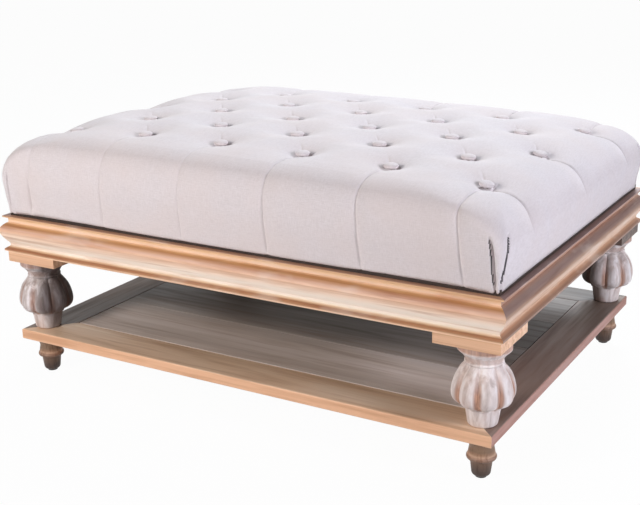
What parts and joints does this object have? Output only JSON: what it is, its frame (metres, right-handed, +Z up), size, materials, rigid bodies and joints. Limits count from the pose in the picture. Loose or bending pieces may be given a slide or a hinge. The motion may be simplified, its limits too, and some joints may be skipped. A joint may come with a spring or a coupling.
{
  "type": "ottoman coffee table",
  "caption": "Upholstered ottoman coffee table with a button-tufted cushion top, moulded wooden frame, carved legs and a low plank shelf.",
  "frame": {"origin": "floor level under the centre of the table, where the glides stand", "axes": "+X along the long side to the right, +Y to the back, +Z up"},
  "size_m": [1.1, 0.82, 0.525],
  "materials": {
    "frame_wood": "whitewashed and glazed",
    "leg_wood": "whitewashed over brown",
    "foot_wood": "dark glaze",
    "shelf_border_wood": "brown glaze",
    "shelf_plank_wood": "grey brown wash",
    "inner_wood": "bare timber",
    "dowel_wood": "bare beech",
    "board_wood": "bare plywood",
    "cushion_fabric": "woven linen",
    "cushion_foam": "open cell foam",
    "twine": "waxed twine",
    "zinc_steel": "zinc plated",
    "glide_plastic": "matte"
  },
  "bodies": {
    "root": {"front_rail": "frame_wood", "back_rail": "frame_wood", "left_rail": "frame_wood", "right_rail": "frame_wood", "corner_pad_front_left": "frame_wood", "corner_pad_front_right": "frame_wood", "corner_pad_back_left": "frame_wood", "corner_pad_back_right": "frame_wood", "leg_front_left": "leg_wood", "leg_front_right": "leg_wood", "leg_back_left": "leg_wood", "leg_back_right": "leg_wood", "foot_front_left": "foot_wood", "foot_front_right": "foot_wood", "foot_back_left": "foot_wood", "foot_back_right": "foot_wood", "shelf_border_front": "shelf_border_wood", "shelf_border_back": "shelf_border_wood", "shelf_border_left": "shelf_border_wood", "shelf_border_right": "shelf_border_wood", "shelf_plank_1": "shelf_plank_wood", "shelf_plank_2": "shelf_plank_wood", "shelf_plank_3": "shelf_plank_wood", "shelf_plank_4": "shelf_plank_wood", "corner_block_front_left": "inner_wood", "corner_block_front_right": "inner_wood", "corner_block_back_left": "inner_wood", "corner_block_back_right": "inner_wood", "deck_bearer_left": "inner_wood", "deck_bearer_right": "inner_wood", "shelf_batten_1": "inner_wood", "shelf_batten_2": "inner_wood", "shelf_batten_3": "inner_wood", "frame_mitre_dowels": "dowel_wood", "shelf_mitre_dowels": "dowel_wood", "bearer_dowels": "dowel_wood", "deck_board": "board_wood", "cushion_board": "board_wood", "tufted_cover": "cushion_fabric", "tuft_buttons": "cushion_fabric", "foam_core": "cushion_foam", "tufting_twines": "twine", "tie_rods": "zinc_steel", "rod_nuts": "zinc_steel", "rod_washers": "zinc_steel", "foot_inserts": "zinc_steel", "corner_block_screws": "zinc_steel", "corner_pad_screws": "zinc_steel", "deck_screws": "zinc_steel", "cushion_screws": "zinc_steel", "batten_screws": "zinc_steel", "cover_staples": "zinc_steel", "twine_anchors": "zinc_steel", "foot_glides": "glide_plastic"}
  },
  "joints": []
}
